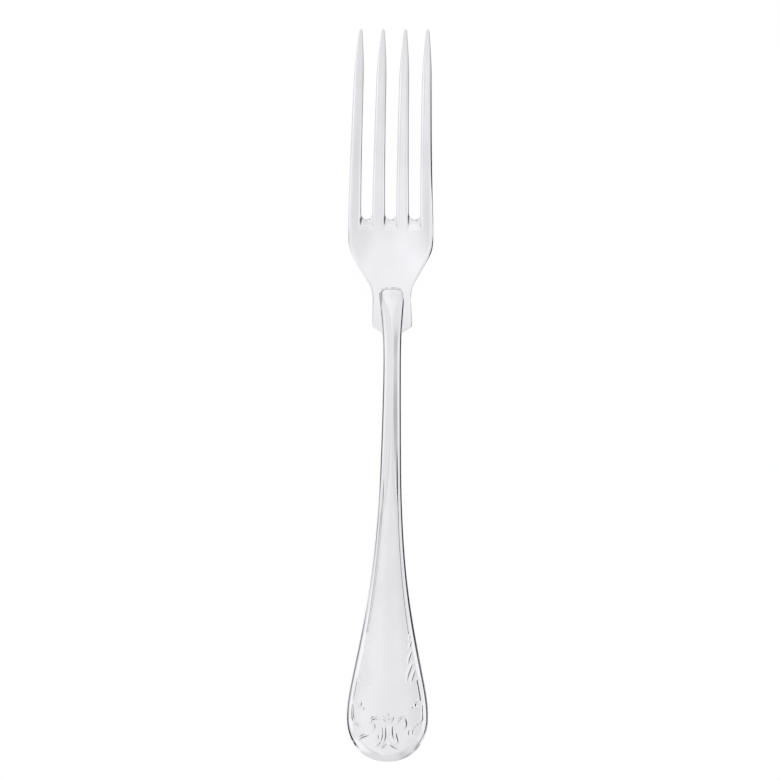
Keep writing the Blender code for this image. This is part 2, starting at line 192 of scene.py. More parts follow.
def polishedSilver(name):
    material, tree, place = newMaterial(name, 1.0)
    patchNoise = {"Scale": 1 / (silver["patch"] * mm), "Detail": silver["patchDetail"]}
    patches = addNode(tree, "TexNoise", patchNoise, Vector=place)
    across = 1 / (silver["hairline"] * mm)
    along = 1 / (silver["hairlineLength"] * mm)
    stretch = addNode(tree, "Mapping", {"Scale": (across, along, across)}, Vector=place)
    lineNoise = {"Scale": 1.0, "Detail": silver["hairlineDetail"]}
    hairlines = addNode(tree, "TexNoise", lineNoise, Vector=stretch.outputs[0])
    wear = addNode(
        tree,
        "Math",
        {"operation": "MULTIPLY_ADD", "1": silver["hairlineWear"], "use_clamp": True},
        in0=hairlines.outputs["Fac"],
        in2=patches.outputs["Fac"],
    )
    tones = {"data_type": "RGBA", "6": toLinear(silver["bright"]), "7": toLinear(silver["worn"])}
    tone = addNode(tree, "Mix", tones, in0=wear.outputs[0])
    dulling = {
        "From Min": silver["wearStart"],
        "From Max": silver["wearEnd"],
        "To Min": silver["roughness"],
        "To Max": silver["wornRoughness"],
    }
    rough = addNode(tree, "MapRange", dulling, in0=wear.outputs[0])
    depth = {"Strength": 1.0, "Distance": silver["hairlineDepth"] * mm}
    lines = addNode(tree, "Bump", depth, Height=hairlines.outputs["Fac"])
    joinShader(tree, tone, rough, lines)
    return material


headSilver = polishedSilver("polished_silver_head")
handleSilver = polishedSilver("polished_silver_handle")


# Silver solder, run into the seam and filed flush: yellower and duller than the silver, with small pits
solder = {
    "tones": ("e6e1d6", "cfc6b4"),  # clean, then dull
    "roughness": (0.26, 0.42),
    "metallic": 1.0,
    "grain": 0.5,  # mm between pits
    "grainDepth": 0.01,
}

# Handle cement, resin and brick dust poured in hot: matt brown with pale and dark grains
cement = {
    "tones": ("57493b", "7b6650"),  # resin, then dust
    "roughness": (0.78, 0.95),
    "metallic": 0.0,
    "grain": 0.7,  # mm across a grain
    "grainDepth": 0.05,
}

# What both share: noise levels between which one tone gives way to the other, and strength of the dents
grainLook = {
    "start": 0.35,
    "end": 0.65,
    "detail": 4.0,
    "dents": 0.6,
}


# Two tones of one grainy stuff, blended by a noise of the grain's size that also roughens and dents it
def grainyMaterial(name, stuff):
    material, tree, place = newMaterial(name, stuff["metallic"])
    noise = {"Scale": 1 / (stuff["grain"] * mm), "Detail": grainLook["detail"]}
    grains = addNode(tree, "TexNoise", noise, Vector=place)
    contrast = {"From Min": grainLook["start"], "From Max": grainLook["end"]}
    share = addNode(tree, "MapRange", contrast, in0=grains.outputs["Fac"])
    first, second = [toLinear(tone) for tone in stuff["tones"]]
    tones = {"data_type": "RGBA", "6": first, "7": second}
    tone = addNode(tree, "Mix", tones, in0=share.outputs[0])
    dulling = {"To Min": stuff["roughness"][0], "To Max": stuff["roughness"][1]}
    rough = addNode(tree, "MapRange", dulling, in0=share.outputs[0])
    depth = {"Strength": grainLook["dents"], "Distance": stuff["grainDepth"] * mm}
    dents = addNode(tree, "Bump", depth, Height=share.outputs[0])
    joinShader(tree, tone, rough, dents)
    return material


silverSolder = grainyMaterial("silver_solder", solder)
handleCement = grainyMaterial("handle_cement", cement)
print("materials made")

# Fork head: four tines, bowl and heel as one plate with rounded edges, and the tang inside the handle

plate = {
    "tines": 4,
    "width": 21.0,
    "tineLean": 0.7,  # each outer tine leans in by this much at its point
    "tineLength": 46.6,
    "tineRoot": 3.2,
    "tinePoint": 2.4,
    "pointLength": 12.0,
    "pointRadius": 0.42,
    "pointTaper": 1.5,
    "bowlSide": 5.3,
    "shoulder": 14.4,
    "shoulderRadius": 8.5,
    "neck": 9.4,
    "heelLength": 8.5,
    "heelWidth": 9.8,
    "heelCorner": 1.6,
    "stem": 4.3,
    "thickness": 2.2,
    "pointThickness": 1.15,
    "heelThickness": 2.0,
    "dish": 0.6,
    "pointDish": 0.27,
    "tangLength": 40.0,
    "tangWidth": 2.3,
    "tangThickness": 1.6,
    "tangGrowth": 10.0,  # the tang thickens over this length to the heel
    "sharpAngle": 50.0,
    "edge": {  # rounded edges of the head
        "width": 0.8,
        "heelWidth": 0.35,
        "pointShare": 0.66,  # width at the points as a share of their radius; it narrows over this length
        "pointSpan": 15.6,
        "domed": 0.72,  # share of the width that is domed, before a straight slope down to the side wall
        "tilts": [  # tilt of that slope on the outer sides: mark to count from, mm above it, degrees
            ("neck", 0, 40.0),
            ("neck", 3, 22.0),
            ("shoulder", -6, 22.0),
            ("shoulder", -3, 38.0),
            ("shoulder", -1, 38.0),
            ("shoulder", 2, 25.0),
            ("slot", 4, 25.0),
            ("slot", 12, 36.0),
            ("point", -6, 36.0),
            ("point", 0, 25.0),
        ],
        "leftTilt": 25.0,  # most that it tilts on the outer left side
        "slotTilts": (26.0, 25.0),  # sides of the slots, at their roots and at the points
        "bevel": 0.03,  # small bevel between the slope and the side wall: its width and its drop
        "bevelDrop": 0.039,
        "undercut": 0.12,  # the side wall leans in by this much, but by no more than this share of the edge
        "undercutShare": 0.3,
        "backShare": 0.45,  # most of the thickness that the round at the back takes
    },
    "chute": {  # sunk root of each slot
        "length": 3.0,  # how far it reaches onto the bowl
        "rise": 2.1,  # how soon it is deep
        "depth": 0.42,
        "tilt": 31.0,  # of its sides
    },
    "mesh": {  # how finely the head is divided: shares across a tine, points along each stretch
        "across": [-1, -0.72, -0.36, 0, 0.36, 0.72, 1],
        "slotPoints": 33,
        "bowlPoints": 44,
        "shoulderPoints": 34,
        "heelPoints": 16,
        "tinePoints": 60,
        "tipPoints": 30,
        "tangPoints": 40,
        "edgeSteps": 6,
        "closeRows": 6.0,  # rows are close together to this far below the slots
        "slotBend": 7.0,  # rows bend round the slots' roots to this far below them
        "heelBend": 1.5,  # rows make room for the heel's edge over this length
        "tipBend": 2.0,  # rows bend round the points from this far before their ends, over this length
        "tipBendSpan": 1.5,
        "tangStart": 0.5,  # the tang's first row is this far below the heel's edge
        "weld": 0.0001,
    },
}
plateEdge = plate["edge"]
chute = plate["chute"]
plateMesh = plate["mesh"]

pointY = sideProfile["length"] / 2
slotY = pointY - plate["tineLength"]
shoulderY = slotY - plate["bowlSide"]
neckY = shoulderY - plate["shoulder"]
heelY = neckY - plate["heelLength"]
tangY = heelY - plate["tangLength"]
rootPitch = (plate["width"] - plate["tineRoot"]) / (plate["tines"] - 1)
tipPitch = rootPitch - 2 * plate["tineLean"] / (plate["tines"] - 1)
slotRoundY = slotY + rootPitch / 4


def tineMiddle(index, y):
    return (index - (plate["tines"] - 1) / 2) * mix(rootPitch, tipPitch, (y - slotY) / plate["tineLength"])


def tineHalf(y):
    share = (y - slotY) / (plate["tineLength"] - plate["pointLength"])
    half = mix(plate["tineRoot"], plate["tinePoint"], clamp(share)) / 2
    taper = clamp((y - pointY + plate["pointLength"]) / (plate["pointLength"] - plate["pointRadius"]))
    tip = mix(plate["tinePoint"] / 2, plate["pointRadius"], taper ** plate["pointTaper"])
    return np.where(taper > 0, tip, half)


shoulderRise = (plate["width"] - plate["neck"]) / 2
shoulderAcross = 2 * plate["shoulderRadius"] - shoulderRise
shoulderSlope = sqrt(shoulderAcross**2 + plate["shoulder"] ** 2 - 4 * plate["shoulderRadius"] ** 2)
shoulderTurn = atan2(2 * plate["shoulderRadius"], shoulderSlope) - atan2(shoulderAcross, plate["shoulder"])


# How far a shoulder's side has moved over, at a way from its nearer end: a round, then a straight slope
def shoulderOffset(way):
    radius = plate["shoulderRadius"]
    arc = radius * sin(shoulderTurn)
    onRound = radius - np.sqrt(radius**2 - np.clip(way, 0, arc) ** 2)
    return onRound + np.maximum(way - arc, 0) * tan(shoulderTurn)


def bowlHalf(y):
    low = plate["neck"] / 2 + shoulderOffset(y - neckY)
    high = plate["width"] / 2 - shoulderOffset(shoulderY - y)
    shoulder = np.where(y < (neckY + shoulderY) / 2, low, high)
    cornerY = heelY + plate["heelCorner"]
    heel = mix(plate["heelWidth"], plate["neck"], clamp((y - cornerY) / (neckY - cornerY))) / 2
    half = np.where(y < neckY, heel, shoulder)
    tines = tineMiddle(plate["tines"] - 1, y) + tineHalf(y)
    return np.where(y > slotY, tines, np.where(y > shoulderY, plate["width"] / 2, half))


def edgeWidth(y):
    width = mix(plateEdge["heelWidth"], plateEdge["width"], smooth((y - neckY) / plate["shoulder"]))
    pointWidth = plateEdge["pointShare"] * plate["pointRadius"]
    return mix(width, pointWidth, smooth((y - pointY) / plateEdge["pointSpan"] + 1))


def edgeTilt(x, y):
    marks = {"neck": neckY, "shoulder": shoulderY, "slot": slotY, "point": pointY}
    places = [marks[mark] + above for mark, above, tilt in plateEdge["tilts"]]
    tilts = [tilt for mark, above, tilt in plateEdge["tilts"]]
    outerSide = np.interp(y, places, tilts)
    outerSide = np.where(x < 0, np.minimum(outerSide, plateEdge["leftTilt"]), outerSide)
    slotSide = np.interp(y, [slotY, pointY], plateEdge["slotTilts"])
    inSlot = (y > slotY - plateEdge["width"]) & (np.abs(x) < tineMiddle(plate["tines"] - 1, y))
    return np.radians(np.where(inSlot, slotSide, outerSide))


# Fall of a domed edge at a way in from where it starts, straight on past its dome
def edgeFall(way, width, tilt):
    radius = width / np.sin(tilt)
    onDome = radius - np.sqrt(radius**2 - np.clip(way, 0, width) ** 2)
    return onDome + np.maximum(way - width, 0) * np.tan(tilt)


def headThickness(y):
    bowl = mix(plate["heelThickness"], plate["thickness"], smooth((y - neckY) / plate["shoulder"]))
    tine = mix(bowl, plate["pointThickness"], clamp((y - slotY) / plate["tineLength"]))
    return mix(plate["tangThickness"], tine, smooth((y - heelY) / plate["tangGrowth"] + 1))


def dish(x, y):
    depth = mix(plate["dish"], plate["pointDish"], clamp((y - slotY) / plate["tineLength"]))
    return depth * smooth((y - neckY) / plate["shoulder"]) * (2 * x / plate["width"]) ** 2


# How far the front drops in the chutes, whose sides are in line with the tines' edges
def chuteDrop(x, y):
    drop = np.zeros_like(x)
    slotHalf = rootPitch / 2 - float(tineHalf(slotRoundY))
    startY = slotY - chute["length"]
    share = clamp((y - startY) / (slotRoundY - startY))
    floorDrop = np.where(y < slotRoundY + hair, smooth(chute["rise"] * share) * chute["depth"], 0.0)
    onRound = smooth((y - slotY) / (slotRoundY - slotY))
    tilt = np.radians(mix(chute["tilt"], plateEdge["slotTilts"][0], onRound))
    for index in range(1, plate["tines"]):
        middle = (tineMiddle(index, slotY) + tineMiddle(index - 1, slotY)) / 2
        way = slotHalf + plateEdge["width"] - np.abs(x - middle)
        dishSlope = 8 * plate["dish"] * middle / plate["width"] ** 2
        sideTilt = tilt + np.where(x < middle, dishSlope, -dishSlope)  # so that all the chutes look alike
        sideDrop = edgeFall(way, plateEdge["width"] * plateEdge["domed"], sideTilt)
        drop = np.maximum(drop, np.minimum(floorDrop, sideDrop))
    return drop


# Columns across the bowl as shares of its half width, how high each goes, and which are a tine's or a slot's
def bowlColumns(across):
    rootEdge = float(edgeWidth(slotRoundY))
    tine = float(tineHalf(slotRoundY)) - rootEdge
    slotTurns = np.linspace(pi, 0, plateMesh["slotPoints"])[1:-1]
    slotHalf = rootPitch / 2 - tine
    slotDepth = slotRoundY - slotY + rootEdge
    columns = []
    tops = []
    tineColumns = []
    slotColumns = []
    for index in range(plate["tines"]):
        middle = float(tineMiddle(index, slotRoundY))
        tineColumns.append(list(range(len(columns), len(columns) + len(across))))
        columns.extend(middle + tine * across)
        tops.extend([slotRoundY] * len(across))
        if index < plate["tines"] - 1:
            slotMiddle = (middle + float(tineMiddle(index + 1, slotRoundY))) / 2
            slotColumns.append(list(range(len(columns), len(columns) + len(slotTurns))))
            columns.extend(slotMiddle + slotHalf * np.cos(slotTurns))
            tops.extend(slotRoundY - slotDepth * np.sin(slotTurns))
    columns = np.array(columns) / (float(bowlHalf(slotRoundY)) - rootEdge)
    return columns, np.array(tops), tineColumns, slotColumns


# The head's plan inside its rounded edges, as points and quads
def headPlan():
    points = []
    quads = []

    def addGrid(xs, ys):
        start = len(points)
        points.extend(zip(xs.ravel(), ys.ravel()))
        numbers = np.arange(start, start + xs.size).reshape(xs.shape)
        quads.extend(gridFaces(numbers))
        return numbers

    # Rows from the slots down to the heel's lower edge, straight again some way below the slots
    across = np.array(plateMesh["across"])
    columns, tops, tineColumns, slotColumns = bowlColumns(across)
    closeY = slotY - plateMesh["closeRows"]
    rows = np.concatenate([
        np.linspace(slotRoundY, closeY, plateMesh["bowlPoints"])[:-1],
        np.linspace(closeY, neckY, plateMesh["shoulderPoints"])[:-1],
        np.linspace(neckY, heelY, plateMesh["heelPoints"]),
    ])
    rowGrid, columnGrid = np.meshgrid(rows, columns, indexing="ij")
    ease = clamp(1 - (slotRoundY - rowGrid) / plateMesh["slotBend"]) ** 2
    ys = rowGrid - ease * (slotRoundY - tops)[None, :]
    halves = bowlHalf(np.maximum(ys, heelY + plate["heelCorner"])) - edgeWidth(ys)
    corner = np.abs(columnGrid) * plate["heelWidth"] - plate["stem"]
    corner = clamp(corner / (plate["heelWidth"] - plate["stem"]))
    heelLift = clamp(1 - (ys - heelY) / (neckY - heelY)) * corner * plate["heelCorner"]
    edgeLift = clamp(1 - (ys - heelY) / plateMesh["heelBend"]) * plateEdge["heelWidth"]
    bowl = addGrid(columnGrid * halves, ys + heelLift + edgeLift)

    # Tines: rows from the slots to the point, the last rows bent to the point's round end
    tipY = pointY - plate["pointLength"]
    rows = np.concatenate([
        np.linspace(slotRoundY, tipY, plateMesh["tinePoints"]),
        np.linspace(tipY, pointY - plate["pointRadius"], plateMesh["tipPoints"])[1:],
    ])
    rowGrid, acrossGrid = np.meshgrid(rows, across, indexing="ij")
    inset = tineHalf(rowGrid) - edgeWidth(rowGrid)
    bow = smooth((rowGrid - pointY + plateMesh["tipBend"]) / plateMesh["tipBendSpan"])
    bow = bow * np.cos(acrossGrid * pi / 2) * inset
    for index, span in enumerate(tineColumns):
        tine = addGrid(tineMiddle(index, rowGrid) + inset * acrossGrid, rowGrid + bow)
        quads.extend(gridFaces(np.stack([bowl[0, span], tine[0]])))

    # Tang: the middle slot's columns run on into the handle
    middleSpan = slotColumns[len(slotColumns) // 2]
    rows = np.linspace(heelY - plateMesh["tangStart"], tangY, plateMesh["tangPoints"])
    shares = np.linspace(-1, 1, len(middleSpan))
    rowGrid, shareGrid = np.meshgrid(rows, shares, indexing="ij")
    tang = addGrid(shareGrid * (plate["tangWidth"] / 2 - plateEdge["heelWidth"]), rowGrid)
    quads.extend(gridFaces(np.stack([bowl[-1, middleSpan], tang[0]])))
    return np.array(points), np.array(quads)


# Numbers of the points around a plan, in order
def rimOf(bm):
    follow = {}
    for edge in bm.edges:
        if edge.is_boundary:
            first = edge.link_loops[0].vert
            follow[first.index] = edge.other_vert(first).index
    rim = [next(iter(follow))]
    while follow[rim[-1]] != rim[0]:
        rim.append(follow[rim[-1]])
    return np.array(rim)


# Directions straight out from the rim
def rimNormals(plan, rim):
    along = plan[np.roll(rim, -1)] - plan[rim]
    along /= np.linalg.norm(along, axis=1)[:, None]
    normals = np.stack([along[:, 1], -along[:, 0]], axis=1)
    normals = normals + np.roll(normals, 1, axis=0)
    return normals / np.linalg.norm(normals, axis=1)[:, None]


# Rings of the rounded edge from front to back: the way of each out from the rim, and its height
def edgeRings(spots, normals, top, drop):
    x, y = spots.T
    width = edgeWidth(y)
    tilt = edgeTilt(x, y)
    rings = []
    for share in np.linspace(0, 1, plateMesh["edgeSteps"] + 1)[1:]:
        out = (width - plateEdge["bevel"]) * np.sin(share * tilt) / np.sin(tilt)
        fall = drop + edgeFall(out, width * plateEdge["domed"], tilt)
        outer = spots + normals * out[:, None]
        rings.append((out, top - np.maximum(fall, chuteDrop(*outer.T))))
    rings.append((width, rings[-1][1] - plateEdge["bevelDrop"]))
    backRise = np.minimum(width, plateEdge["backShare"] * (2 * top - drop))
    backWidth = width - np.minimum(plateEdge["undercut"], plateEdge["undercutShare"] * width)
    for turn in np.linspace(pi / 2, 0, plateMesh["edgeSteps"] + 1)[:-1]:
        rings.append((backWidth * sin(turn), backRise * (1 - cos(turn)) - top))
    return rings


# A closed plate on a plan of quads: front and back faces, joined around the rim by a rounded edge
def plateFromPlan(points, quads):
    bm = bmesh.new()
    verts = [bm.verts.new((x, y, 0)) for x, y in points]
    for quad in quads:
        bm.faces.new([verts[k] for k in quad])
    bmesh.ops.remove_doubles(bm, verts=bm.verts, dist=plateMesh["weld"])
    bmesh.ops.recalc_face_normals(bm, faces=bm.faces)
    bm.normal_update()
    if sum(face.normal.z for face in bm.faces) < 0:
        bmesh.ops.reverse_faces(bm, faces=bm.faces)
    bm.verts.index_update()
    plan = np.array([v.co[:2] for v in bm.verts])
    front = [[v.index for v in face.verts] for face in bm.faces]
    rim = rimOf(bm)
    bm.free()

    x, y = plan.T
    top = headThickness(y) / 2
    drop = chuteDrop(x, y)
    lift = dish(x, y)
    layers = [np.stack([x, y, top - drop + lift], axis=1), np.stack([x, y, lift - top], axis=1)]
    count = len(plan)
    total = 2 * count
    normals = rimNormals(plan, rim)
    numbers = [rim]
    for out, n in edgeRings(plan[rim], normals, top[rim], drop[rim]):
        layers.append(np.column_stack([plan[rim] + normals * out[:, None], n + lift[rim]]))
        numbers.append(np.arange(total, total + len(rim)))
        total += len(rim)
    numbers.append(rim + count)
    numbers = np.array(numbers)
    numbers = np.column_stack([numbers, numbers[:, 0]])
    back = [[k + count for k in reversed(face)] for face in front]
    return np.concatenate(layers), front + back + gridFaces(numbers).tolist()


flat, faces = plateFromPlan(*headPlan())
head = addPiece("silver_head", bend(*flat.T), faces, headSilver, plate["sharpAngle"])
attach(head, "root")
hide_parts("fork_head")

# Handle: two struck halves on one outline

handle = {
    "width": 20.2,
    "round": 11.0,
    "fullness": 2.15,  # 2 makes the round end an ellipse, more makes it squarer
    "stem": 4.3,
    "tongueWidth": 6.2,
    "tongueLength": 11.0,
    "tongueRound": 1.8,
    "tongueFullness": 2.8,
    # How wide it is at even steps from its widest place to the tongue, as shares from the stem's width
    "flare": [0.85, 1.075, 0.85, 0.60, 0.385, 0.23, 0.13, 0.065, 0.04, 0.015, 0, 0, 0, 0],
    "tongueFlare": [0, 0, 0, 0, 0, 0, 0, 0, 0, 0, 0, -0.02, 1.08, 1.7],
    "seam": 0.1,  # height of a half's edge over the middle plane, at the seam and over the heel
    "lap": 1.1,
    "lapClearance": 0.1,
    "wall": 0.55,
    "hollowCover": 0.825,  # metal left over the hollow
    "leastHollow": 0.02,
    "depthStart": 0.25,  # the depth changes from the end's to the stem's from this share of the length
    "depthSpan": 0.5,
    "sharpAngle": 60.0,
    "mesh": {  # how finely both halves are divided
        "wideLength": 34.0,  # the wide end's rows reach this far
        "lapStep": 0.05,  # from the last row of the stem to the first of the tongue
        "tongueSteps": 16,
        "evenColumns": 0.5,  # 1 spaces the columns evenly, 0 crowds them towards the edges
        "hollowColumns": 13,
        "outlineRound": 120,  # points of the outline that distances are measured from: an end, a side
        "outlineSide": 500,
        "batch": 2000,  # points measured at a time
    },
}
handleMesh = handle["mesh"]

endY = -sideProfile["length"] / 2
widestY = endY + handle["round"]
tongueY = heelY + handle["tongueLength"]
tongueStart = tongueY - handle["tongueRound"]
lapY = heelY - handle["lapClearance"]


def handleHalf(y, inset):
    share = (np.clip(y, widestY, tongueStart) - widestY) / (tongueStart - widestY)
    half = handle["stem"] / 2 + bSpline(handle["flare"], share) * (handle["width"] - handle["stem"]) / 2
    half += bSpline(handle["tongueFlare"], share) * (handle["tongueWidth"] - handle["stem"]) / 2
    half = half - inset
    end = clamp((widestY - y) / (widestY - endY - inset))
    tip = clamp((y - tongueStart) / (tongueY - inset - tongueStart))
    half = half * (1 - end ** handle["fullness"]) ** (1 / handle["fullness"])
    return half * (1 - tip ** handle["tongueFullness"]) ** (1 / handle["tongueFullness"])


def handleDepth(y, struckHalf):
    share = (y - endY) / (heelY - endY)
    share = smooth((share - handle["depthStart"]) / handle["depthSpan"])
    return mix(struckHalf["endDepth"], struckHalf["stemDepth"], share)


# Height at which a half meets the other half, or the heel where its tongue laps over it
def handleBase(y):
    return np.where(y >= lapY, handle["lap"], handle["seam"])


def handleRows(struckHalf):
    turns = np.linspace(pi / 2, 0, struckHalf["endSteps"] + 1)
    wideTop = endY + handleMesh["wideLength"]
    rows = [widestY - (widestY - endY) * np.sin(turns)]
    for low, high, step in (
        (widestY, wideTop, struckHalf["wideStep"]),
        (wideTop, lapY - handleMesh["lapStep"], struckHalf["stemStep"]),
        (lapY, tongueStart, struckHalf["tongueStep"]),
    ):
        rows.append(np.linspace(low, high, int(round((high - low) / step)) + 1))
    turns = np.linspace(0, pi / 2, handleMesh["tongueSteps"])
    rows.append(tongueStart + (tongueY - tongueStart) * np.sin(turns))
    return np.unique(np.round(np.concatenate(rows), 6))


# Distance of points from a line of short steps, and the share of the line at the nearest place
def nearestOnLine(spots, line):
    start, step = line[:-1], np.diff(line, axis=0)
    some = spots[:, None, :] - start[None]
    along = clamp((some * step).sum(axis=2) / (step**2).sum(axis=1))
    gaps = np.sqrt(((some - along[..., None] * step) ** 2).sum(axis=2))
    each = np.arange(len(spots))
    nearest = gaps.argmin(axis=1)
    return gaps[each, nearest], (nearest + along[each, nearest]) / len(step)


# Distance of plan points from the handle's outline
def edgeDistance(x, y):
    turns = np.linspace(0, pi / 2, handleMesh["outlineRound"])
    places = np.concatenate([
        widestY - (widestY - endY) * np.sin(turns[::-1]),
        np.linspace(widestY, tongueStart, handleMesh["outlineSide"])[1:],
        tongueStart + (tongueY - tongueStart) * np.sin(turns[1:]),
    ])
    outline = np.stack([handleHalf(places, 0.0), places], axis=1)
    spots = np.stack([np.abs(x).ravel(), y.ravel()], axis=1)
    gaps = []
    for first in range(0, len(spots), handleMesh["batch"]):
        gap, share = nearestOnLine(spots[first : first + handleMesh["batch"]], outline)
        gaps.append(gap)
    return np.concatenate(gaps).reshape(x.shape)


# A handle half: outer face from a height function, and a plain hollow behind it
def halfShell(name, side, struckHalf, heightOf):
    rows = handleRows(struckHalf)
    spread = np.linspace(-1, 1, struckHalf["columns"])
    across = mix(np.sin(spread * pi / 2), spread, handleMesh["evenColumns"])
    y, v = np.meshgrid(rows, across, indexing="ij")
    x = handleHalf(y, 0.0) * v
    base = handleBase(rows)
    n = heightOf(x, y, edgeDistance(x, y), handleDepth(y, struckHalf))
    n[:, 0] = base
    n[:, -1] = base
    outer = np.stack([x, y, side * n], axis=-1).reshape(-1, 3)
    outerNumbers = np.arange(y.size).reshape(y.shape)

    wall = handle["wall"]
    hollowRows = endY + wall + (rows - endY) * (tongueY - endY - 2 * wall) / (tongueY - endY)
    hollowAcross = np.sin(np.linspace(-pi / 2, pi / 2, handleMesh["hollowColumns"]))
    hollowY, hollowV = np.meshgrid(hollowRows, hollowAcross, indexing="ij")
    hollowX = handleHalf(hollowY, wall) * hollowV
    room = handleDepth(hollowY, struckHalf) - base[:, None] - handle["hollowCover"]
    room = np.maximum(room, handle["leastHollow"])
    hollowN = base[:, None] + room * np.sqrt(np.maximum(1 - hollowV**2, 0))
    inner = np.stack([hollowX, hollowY, side * hollowN], axis=-1).reshape(-1, 3)
    innerNumbers = np.arange(hollowY.size).reshape(hollowY.shape) + y.size

    faces = [gridFaces(outerNumbers), gridFaces(innerNumbers)]
    for edge in (0, -1):
        faces.append(gridFaces(np.stack([outerNumbers[:, edge], innerNumbers[:, edge]], axis=1)))
    flat = np.concatenate([outer, inner])
    return addPiece(name, bend(*flat.T), np.concatenate(faces), handleSilver, handle["sharpAngle"])


